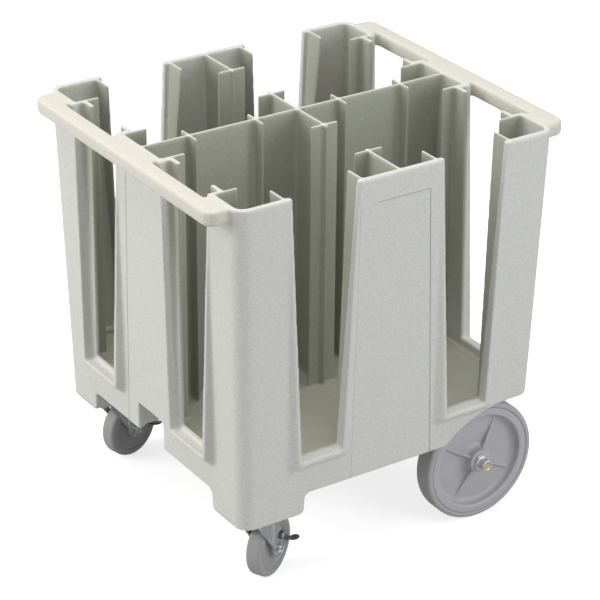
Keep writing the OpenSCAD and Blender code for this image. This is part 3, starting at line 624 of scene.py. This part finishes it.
# Swivel races.
# Shallow pressed cups that hold the balls between plate and fork.
nearly_upright = (0.0001, 0, 1)
for side in ("near", "far"):
    low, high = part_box("swivel_race_" + side)
    half = (high[2] - low[2]) / 2
    radius = (high[0] - low[0]) / 2
    race = turned(
        "race_cup_" + side,
        [(0.0061, -half), (radius - 0.006, -half), (radius - 0.0045, -half + 0.0012),
         (radius, -half + 0.0018), (radius, half - 0.0016), (radius - 0.002, half), (0.0061, half)],
        0.0009, middle("swivel_race_" + side), nearly_upright, 96)
    fitted(race, zinc, "zinc_steel", "cart_body", "swivel_race_" + side)

# Kingpins.
# Riveted pins that the forks turn on.
for side in ("near", "far"):
    pin = softened(
        "kingpin_rivet_" + side, ["kingpin_" + side], voxel=0.0005, rounds=4, adaptivity=0.003)
    fitted(pin, zinc, "zinc_steel", "cart_body", "kingpin_" + side)

# Forks.
# Pressed and zinc-plated steel: a crown with two raked legs whose edges are
# rolled out for stiffness.
for side in ("near", "far"):
    fork = softened(
        "pressed_fork_" + side, ["fork_" + side], voxel=0.0006, rounds=5, adaptivity=0.004)
    fitted(fork, zinc, "zinc_steel", side + "_fork", "fork_" + side)

# Caster axles.
# A bolt and a lock nut through each fork.
for side in ("near", "far"):
    bolt = softened(
        "caster_bolt_" + side, ["caster_axle_" + side], voxel=0.0004, rounds=3, adaptivity=0.003)
    fitted(bolt, zinc, "zinc_steel", side + "_fork", "caster_axle_" + side)

# Caster spacers.
# Steel tubes clamped between the fork legs; the caster wheels turn on them.
for side in ("near", "far"):
    dressed("caster_spacer_" + side, zinc)

# Caster wheel cores.
# Darker grey polypropylene, dished, with a ring near the hub and one near
# the tyre.
caster_grey, _, _ = flecked(
    "caster_polypropylene", 0.45, 1500.0, 0.9, (0.31, 0.305, 0.315), (0.39, 0.385, 0.395), 0.0001)
fork_turn = {"near": math.radians(28.0), "far": math.radians(14.0)}


def caster_axis(side):
    """Direction of a caster's axle, with its fork turned as it stands."""
    return (-math.sin(fork_turn[side]), math.cos(fork_turn[side]), 0)


for side in ("near", "far"):
    core = turned(
        "dished_core_" + side,
        mirrored([
            (0.00605, -0.0177), (0.0125, -0.0177), (0.0140, -0.0172), (0.0150, -0.0125),
            (0.0190, -0.0118), (0.0200, -0.0108), (0.0340, -0.0100), (0.0380, -0.0116),
            (0.0425, -0.0148), (0.0480, -0.0150)]),
        0.0012, middle("caster_tyre_" + side), caster_axis(side), 128)
    fitted(core, caster_grey, "caster_plastic", side + "_caster_wheel", "caster_core_" + side)

# Caster tyres.
# Grey rubber bands moulded on the cores, with round shoulders.
caster_rubber, _, _ = flecked(
    "caster_rubber", 0.62, 1500.0, 1.0, (0.31, 0.31, 0.31), (0.40, 0.40, 0.395), 0.0002)
for side in ("near", "far"):
    low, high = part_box("caster_tyre_" + side)
    radius = (high[2] - low[2]) / 2
    tyre = turned(
        "rubber_band_" + side,
        mirrored([
            (0.0481, -0.0148), (0.0495, -0.0157), (0.0530, -0.0159), (radius - 0.0062, -0.0159),
            (radius - 0.0020, -0.0140), (radius - 0.0001, -0.0098), (radius - 0.0001, -0.0006),
            (radius - 0.0004, 0.0)]),
        0.0020, middle("caster_tyre_" + side), caster_axis(side), 144)
    fitted(tyre, caster_rubber, "caster_rubber", side + "_caster_wheel", "caster_tyre_" + side)

# Brake pins.
# Headed rivets in the outer fork legs.
for side in ("near", "far"):
    rivet = softened(
        "brake_rivet_" + side, ["brake_pin_" + side], voxel=0.0004, rounds=3, adaptivity=0.003)
    fitted(rivet, zinc, "zinc_steel", side + "_fork", "brake_pin_" + side)

# Brake levers.
# Bent steel pedals, dark olive all over: painted shade, the tone the near pedal shows in shade, with tone
# and gloss drifting in soft clouds.
pedal_painted_shade = clouded(
    "pedal_steel_painted_shade", 0.0, 90.0, (0.045, 0.045, 0.04), (0.10, 0.10, 0.088), (0.34, 0.52), 0.0001)


def tapered(work, start, end, wide_start, wide_end, thick):
    """A flat strap between two points, its width along y and its face up."""
    start, end = Vector(start), Vector(end)
    along = (end - start).normalized()
    over = along.cross(Vector((0, 1, 0))).normalized() * thick / 2
    rows = []
    for point, wide in ((start, wide_start), (end, wide_end)):
        out = Vector((0, 1, 0)) * wide / 2
        rows.append([work.verts.new(point + a * out + b * over)
                     for a, b in ((-1, -1), (1, -1), (1, 1), (-1, 1))])
    low, high = rows
    work.faces.new(low)
    work.faces.new(high[::-1])
    for k in range(4):
        work.faces.new((low[k], high[k], high[(k + 1) % 4], low[(k + 1) % 4]))


for side in ("near", "far"):
    kingpin_at = middle("kingpin_" + side)
    swivel = Matrix.Translation((kingpin_at.x, kingpin_at.y, 0)) @ Matrix.Rotation(
        fork_turn[side], 4, "Z")
    collar = turned(
        "collar_" + side, mirrored([(0.0033, -0.0014), (0.0085, -0.0014)]),
        0.0004, (0.050, -0.0238, 0.084), (0, 1, 0), 48)
    work = bmesh.new()
    work.from_mesh(collar.data)
    bpy.data.objects.remove(collar)
    tapered(work, (0.0555, -0.0238, 0.0800), (0.0730, -0.0245, 0.0640), 0.0028, 0.0045, 0.0085)
    tapered(work, (0.0705, -0.0245, 0.0655), (0.0850, -0.0280, 0.0590), 0.0050, 0.0110, 0.0036)
    pad = bmesh.ops.create_uvsphere(work, u_segments=32, v_segments=16, radius=1.0)["verts"]
    bmesh.ops.transform(
        work, verts=pad, matrix=Matrix.Translation((0.0900, -0.0285, 0.0580))
        @ Matrix.Rotation(math.radians(10), 4, "Y") @ Matrix.Diagonal((0.0155, 0.0088, 0.0027, 1)))
    bmesh.ops.transform(work, verts=work.verts, matrix=swivel)
    bmesh.ops.recalc_face_normals(work, faces=work.faces)
    mesh = bpy.data.meshes.new("pressed_pedal_" + side)
    work.to_mesh(mesh)
    work.free()
    lever = bpy.data.objects.new("pressed_pedal_" + side, mesh)
    bpy.context.scene.collection.objects.link(lever)
    weld = lever.modifiers.new("weld", "REMESH")
    weld.mode, weld.voxel_size = "VOXEL", 0.0004
    ease = lever.modifiers.new("ease", "SMOOTH")
    ease.factor, ease.iterations = 0.5, 6
    lever = settled(lever, "pressed_pedal_" + side)
    lever.data.shade_smooth()
    fitted(lever, pedal_painted_shade, "brake_steel", side + "_brake", "brake_lever_" + side)
